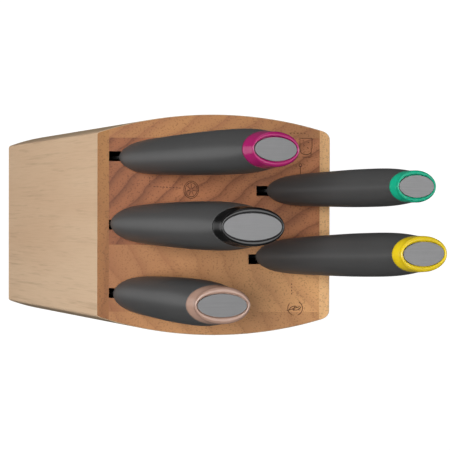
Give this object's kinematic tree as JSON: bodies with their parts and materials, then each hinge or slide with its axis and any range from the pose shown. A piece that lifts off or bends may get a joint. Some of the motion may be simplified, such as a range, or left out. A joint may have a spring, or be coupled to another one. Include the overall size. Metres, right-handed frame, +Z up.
{
  "type": "knife block with knives",
  "caption": "Upright laminated wood knife block with a barrel outline and a sloping slot face, holding kitchen knives with soft grips and coloured end rings.",
  "frame": {"origin": "on the standing surface, under the middle of the block", "axes": "+Z up, +X to the right, -Y towards the user, so the slot face slopes up to +Y"},
  "size_m": [0.1382, 0.1164, 0.3261],
  "materials": {
    "beech_panel": "satin, pale long grain",
    "beech_side": "satin, diagonal end grain",
    "beech_core": "satin, reddish end grain",
    "beech_core_light": "satin, light end grain",
    "foot_rubber": "matt",
    "blade_steel": "brushed",
    "core_plastic": "matt",
    "grip_soft": "soft touch, matt",
    "ring_magenta": "gloss",
    "ring_black": "gloss",
    "ring_copper": "gloss",
    "ring_green": "gloss",
    "ring_yellow": "gloss",
    "cap_metal": "fine brushed"
  },
  "bodies": {
    "root": {"front_panel": "beech_panel", "rear_panel": "beech_panel", "left_side_board": "beech_side", "right_side_board": "beech_side", "left_core_board": "beech_core", "right_core_board": "beech_core_light", "rubber_feet": "foot_rubber"},
    "santoku_knife": {"santoku_knife_blade": "blade_steel", "santoku_knife_core": "core_plastic", "santoku_knife_grip": "grip_soft", "santoku_knife_ring": "ring_magenta", "santoku_knife_end_cap": "cap_metal"},
    "chef_knife": {"chef_knife_blade": "blade_steel", "chef_knife_core": "core_plastic", "chef_knife_grip": "grip_soft", "chef_knife_ring": "ring_black", "chef_knife_end_cap": "cap_metal"},
    "paring_knife": {"paring_knife_blade": "blade_steel", "paring_knife_core": "core_plastic", "paring_knife_grip": "grip_soft", "paring_knife_ring": "ring_copper", "paring_knife_end_cap": "cap_metal"},
    "slicing_knife": {"slicing_knife_blade": "blade_steel", "slicing_knife_core": "core_plastic", "slicing_knife_grip": "grip_soft", "slicing_knife_ring": "ring_green", "slicing_knife_end_cap": "cap_metal"},
    "utility_knife": {"utility_knife_blade": "blade_steel", "utility_knife_core": "core_plastic", "utility_knife_grip": "grip_soft", "utility_knife_ring": "ring_yellow", "utility_knife_end_cap": "cap_metal"}
  },
  "joints": [
    {"name": "santoku_knife_slide", "type": "slide", "parent": "root", "child": "santoku_knife", "axis": [0.0213, 0, 0.9998], "range_m": [0, 0.124]},
    {"name": "chef_knife_slide", "type": "slide", "parent": "root", "child": "chef_knife", "axis": [0.0063, 0, 1], "range_m": [0, 0.14]},
    {"name": "paring_knife_slide", "type": "slide", "parent": "root", "child": "paring_knife", "axis": [-0.0017, 0, 1], "range_m": [0, 0.097]},
    {"name": "slicing_knife_slide", "type": "slide", "parent": "root", "child": "slicing_knife", "axis": [0.0017, 0, 1], "range_m": [0, 0.177]},
    {"name": "utility_knife_slide", "type": "slide", "parent": "root", "child": "utility_knife", "axis": [-0.0471, 0, 0.9989], "range_m": [0, 0.1]}
  ]
}
